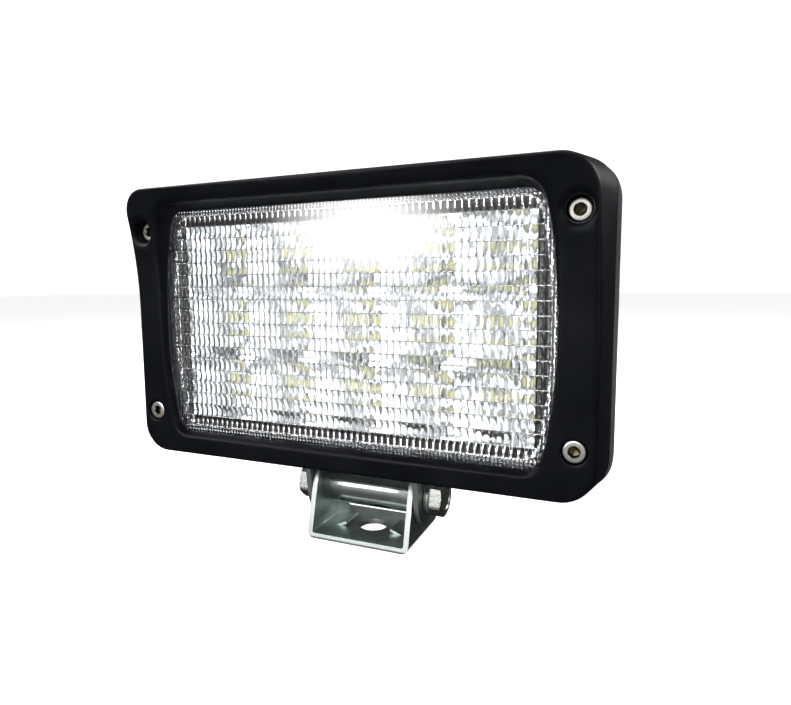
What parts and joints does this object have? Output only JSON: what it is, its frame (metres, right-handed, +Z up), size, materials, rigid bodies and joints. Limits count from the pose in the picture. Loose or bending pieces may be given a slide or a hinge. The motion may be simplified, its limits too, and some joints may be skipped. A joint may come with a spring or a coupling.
{
  "type": "fog light",
  "caption": "Rectangular LED fog and work light: black cast body with a swept visor, fluted clear lens and a tilting zinc-plated two-part bracket.",
  "frame": {"origin": "centre of the bracket's base hole, on the underside of the base", "axes": "+Z up, +X to the right as seen from the front, the lamp shines towards -Y"},
  "size_m": [0.2212, 0.0787, 0.1685],
  "materials": {
    "black_powder_coat": "die cast, satin black powder coat",
    "cast_housing": "die cast, matt black coat",
    "silicone_seal": "dark grey silicone, matt",
    "zinc_plate": "bright zinc plate, lightly streaked",
    "polished_tube": "bright zinc plate, drawn along its length",
    "zinc_bolt": "zinc plate",
    "fastener_steel": "turned stainless steel",
    "rubber_seal": "matt",
    "lens_glass": "clear, fluted on the inside",
    "reflector_plating": "vacuum metallised",
    "board_white": "white solder mask",
    "led_phosphor": "yellow phosphor under silicone",
    "thermal_pad": "soft, matt",
    "board_green": "green solder mask",
    "brass_standoff": "turned",
    "choke_winding": "enamelled copper",
    "capacitor_can": "sleeved can",
    "chip_black": "moulded epoxy",
    "terminal_green": "moulded",
    "lead_sleeve": "silicone sleeve",
    "black_nylon": "moulded nylon"
  },
  "bodies": {
    "mounting_base": {"lower_bracket": "zinc_plate", "spacer_tube": "polished_tube", "pivot_bolts": "zinc_bolt", "pivot_lock_washers": "zinc_bolt"},
    "lamp": {"upper_bracket": "zinc_plate", "bracket_bolts": "zinc_bolt", "bracket_lock_washers": "zinc_bolt", "rear_housing": "cast_housing", "housing_seal": "silicone_seal", "lens": "lens_glass", "lens_seal": "rubber_seal", "bezel": "black_powder_coat", "bezel_screws": "fastener_steel", "reflector": "reflector_plating", "led_board": "board_white", "led_packages": "led_phosphor", "thermal_pad": "thermal_pad", "board_screws": "fastener_steel", "driver_board": "board_green", "driver_standoffs": "brass_standoff", "driver_screws": "fastener_steel", "driver_chokes": "choke_winding", "driver_capacitors": "capacitor_can", "driver_chips": "chip_black", "terminal_block": "terminal_green", "led_leads": "lead_sleeve", "supply_leads": "lead_sleeve", "driver_cover": "cast_housing", "driver_cover_seal": "rubber_seal", "driver_cover_screws": "fastener_steel", "cable_gland": "black_nylon", "gland_seal": "rubber_seal", "gland_cap": "black_nylon", "breather_vent": "black_nylon", "vent_seal": "rubber_seal"}
  },
  "joints": [
    {"name": "tilt", "type": "hinge", "parent": "mounting_base", "child": "lamp", "pos_m": [0, 0, 0.0215], "axis": [1, 0, 0], "range_deg": [-70, 45]}
  ]
}
